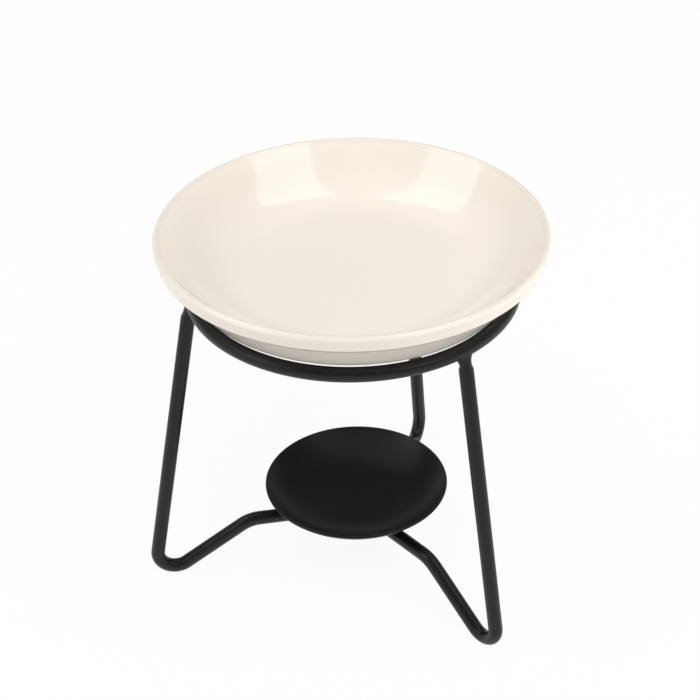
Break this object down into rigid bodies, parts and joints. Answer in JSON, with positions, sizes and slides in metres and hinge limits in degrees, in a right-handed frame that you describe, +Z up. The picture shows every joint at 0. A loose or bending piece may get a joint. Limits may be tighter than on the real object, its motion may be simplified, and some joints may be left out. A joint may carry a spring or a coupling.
{
  "type": "essential oil burner",
  "caption": "Oil burner: a shallow glazed dish rests in the ring of a bent wire stand, above a small round pan for a tealight that warms it.",
  "frame": {"origin": "on the table, under the middle of the ring", "axes": "+Z up along the axis of the ring, dish and pan; -X towards the first leg"},
  "size_m": [0.129, 0.1202, 0.1239],
  "materials": {
    "cream_glaze": "gloss",
    "black_coat": "satin"
  },
  "bodies": {
    "stand": {"support_ring": "black_coat", "candle_pan": "black_coat", "leg_1": "black_coat", "leg_2": "black_coat", "leg_3": "black_coat", "ring_weld_1": "black_coat", "ring_weld_2": "black_coat", "ring_weld_3": "black_coat", "pan_weld_1": "black_coat", "pan_weld_2": "black_coat", "pan_weld_3": "black_coat"},
    "dish": {"oil_dish": "cream_glaze"}
  },
  "joints": [
    {"name": "dish_lift", "type": "slide", "parent": "stand", "child": "dish", "axis": [0, 0, 1], "range_m": [0, 0.06]}
  ]
}
